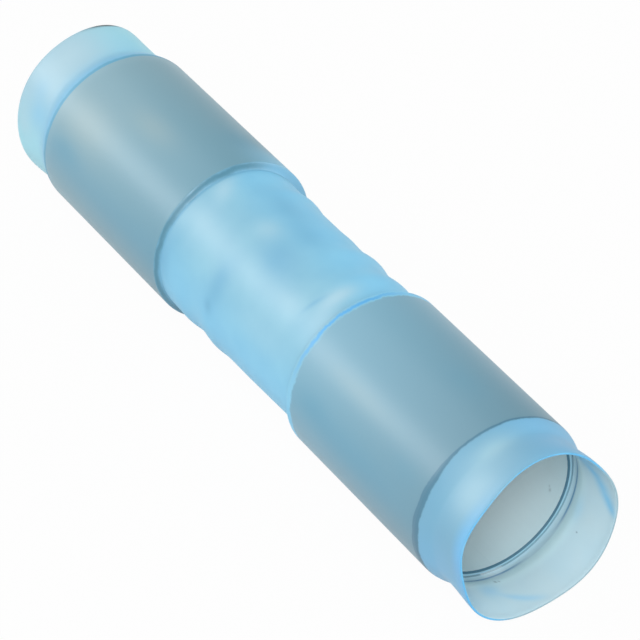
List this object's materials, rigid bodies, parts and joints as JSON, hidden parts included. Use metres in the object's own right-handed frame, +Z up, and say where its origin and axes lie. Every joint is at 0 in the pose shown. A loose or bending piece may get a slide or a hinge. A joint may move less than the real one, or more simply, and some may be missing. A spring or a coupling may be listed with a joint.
{
  "type": "crimp splice connector",
  "caption": "Insulated butt splice: a wire barrel with a thin grip sleeve on each end, under one translucent nylon tube with necked, flared mouths.",
  "frame": {"origin": "on the surface the splice lies on, under the middle of its length and width", "axes": "+X along the tube's axis towards the mouth that faces the viewer, +Y across it, +Z up"},
  "size_m": [0.0458, 0.01, 0.0102],
  "materials": {
    "nylon": "satin, translucent pale blue nylon",
    "sleeve_metal": "satin tin plate over brass",
    "barrel_metal": "satin tin plate over copper"
  },
  "bodies": {
    "root": {"nylon_insulator": "nylon", "near_grip_sleeve": "sleeve_metal", "far_grip_sleeve": "sleeve_metal", "wire_barrel": "barrel_metal"}
  },
  "joints": []
}
